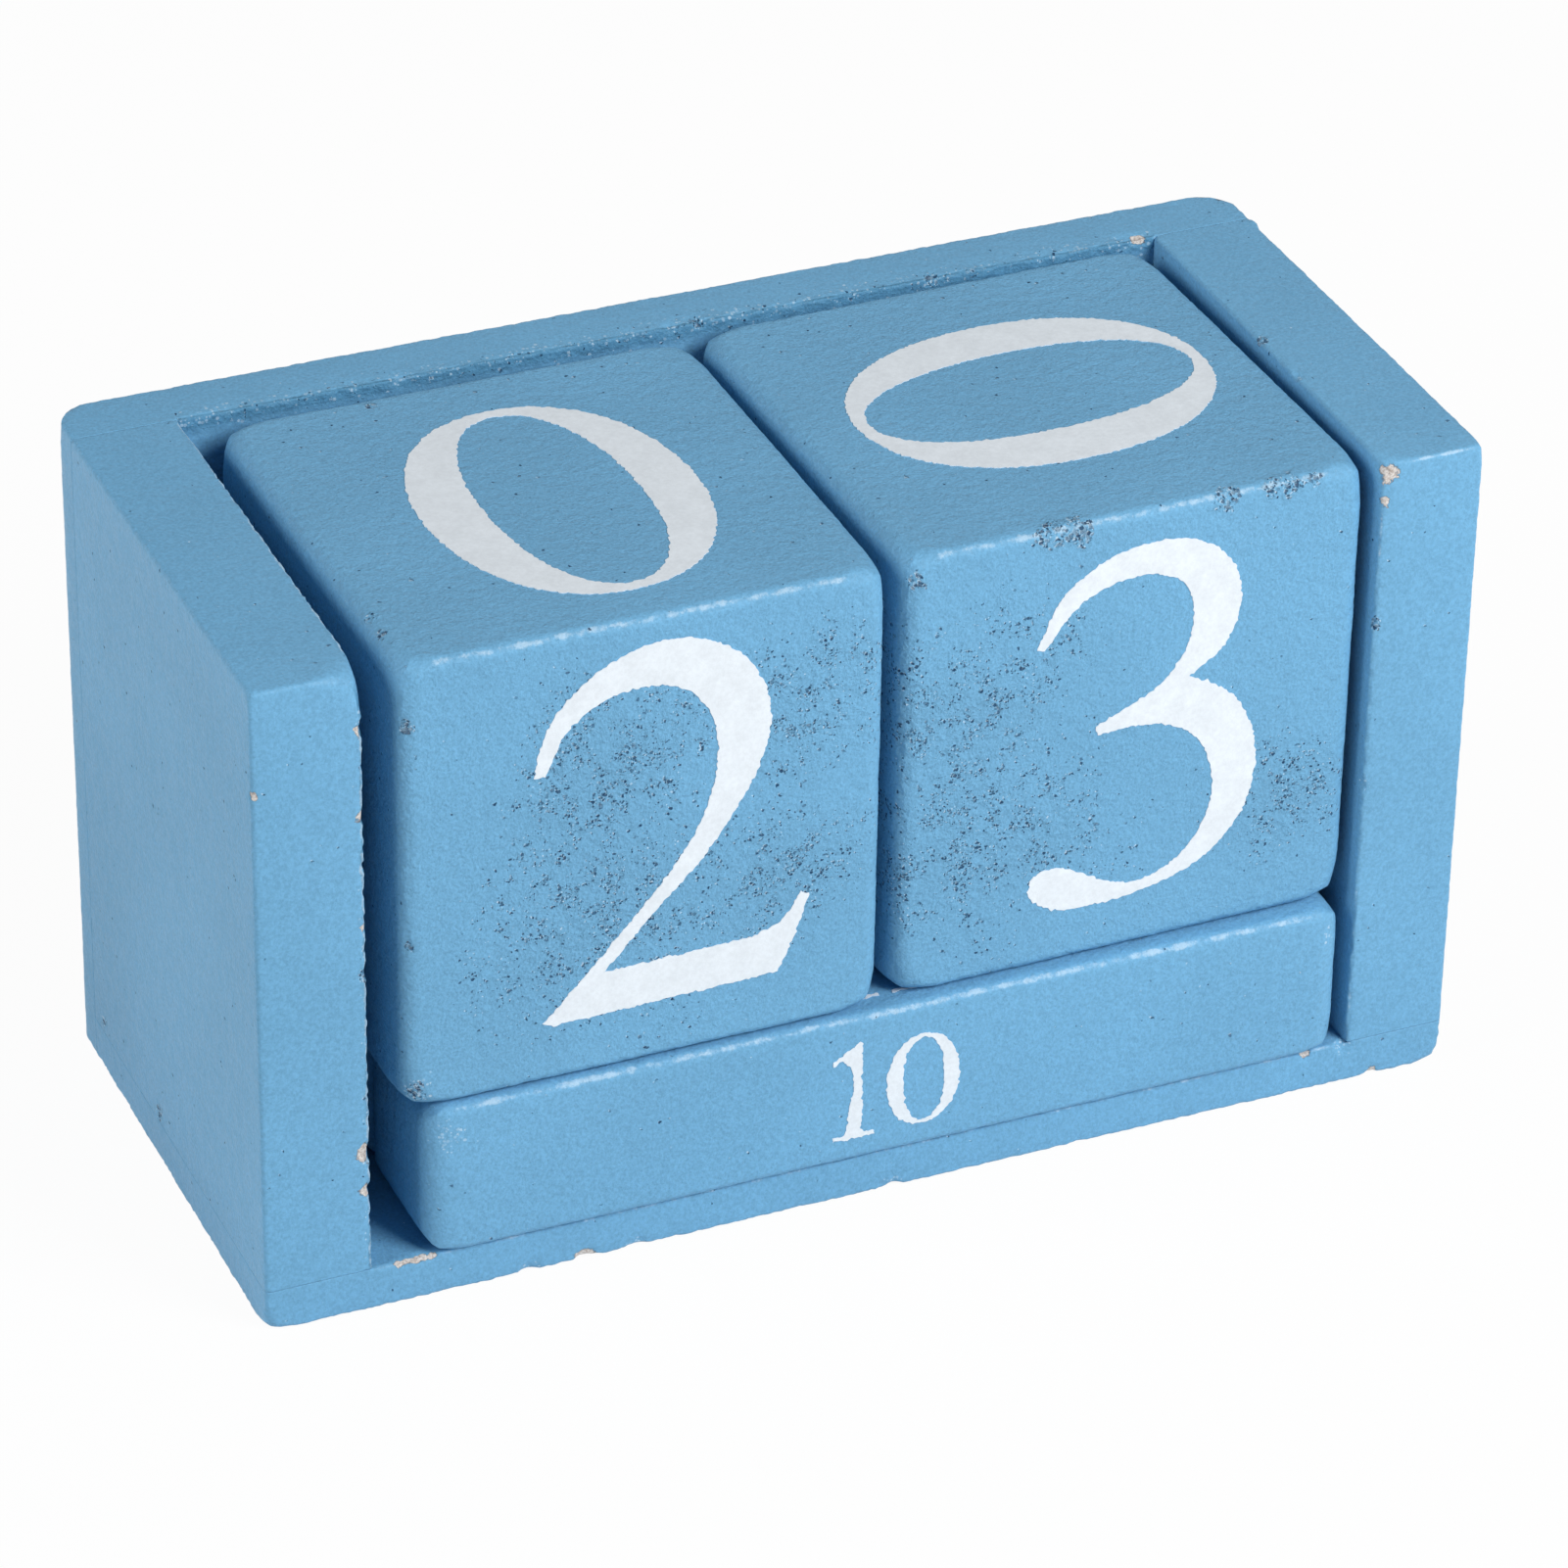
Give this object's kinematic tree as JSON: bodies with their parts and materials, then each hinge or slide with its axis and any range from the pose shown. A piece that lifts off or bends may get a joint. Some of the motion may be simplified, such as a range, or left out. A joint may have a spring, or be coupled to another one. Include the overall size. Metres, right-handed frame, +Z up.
{
  "type": "perpetual block calendar",
  "caption": "Desk block calendar: number cubes standing on long square month bars inside a painted wooden case that is open at the front and top.",
  "frame": {"origin": "middle of the case's underside, where it rests on the desk", "axes": "+X to the right along the case's width, +Y from the open front to the back panel, +Z up"},
  "size_m": [0.115, 0.0534, 0.0651],
  "materials": {
    "case_paint": "sky blue satin paint on wood, worn at the edges",
    "cube_paint": "sky blue satin paint on wood, with fine pits",
    "bar_paint": "sky blue satin paint on wood",
    "print": "thin matt white screen print"
  },
  "bodies": {
    "case": {"back_panel": "case_paint", "bottom_panel": "case_paint", "left_side": "case_paint", "right_side": "case_paint"},
    "left_cube": {"left_cube": "cube_paint"},
    "right_cube": {"right_cube": "cube_paint"},
    "rear_bar": {"month_bar_rear": "bar_paint"},
    "middle_bar": {"month_bar_middle": "bar_paint"},
    "front_bar": {"month_bar_front": "bar_paint"}
  },
  "joints": [
    {"name": "left_cube_lift", "type": "slide", "parent": "case", "child": "left_cube", "axis": [0, 0, 1], "range_m": [0, 0.05]},
    {"name": "right_cube_lift", "type": "slide", "parent": "case", "child": "right_cube", "axis": [0, 0, 1], "range_m": [0, 0.05]},
    {"name": "rear_bar_slide", "type": "slide", "parent": "case", "child": "rear_bar", "axis": [0, -1, 0], "range_m": [0, 0.048]},
    {"name": "middle_bar_slide", "type": "slide", "parent": "rear_bar", "child": "middle_bar", "axis": [0, -1, 0], "range_m": [0, 0.032]},
    {"name": "front_bar_slide", "type": "slide", "parent": "middle_bar", "child": "front_bar", "axis": [0, -1, 0], "range_m": [0, 0.016]}
  ]
}
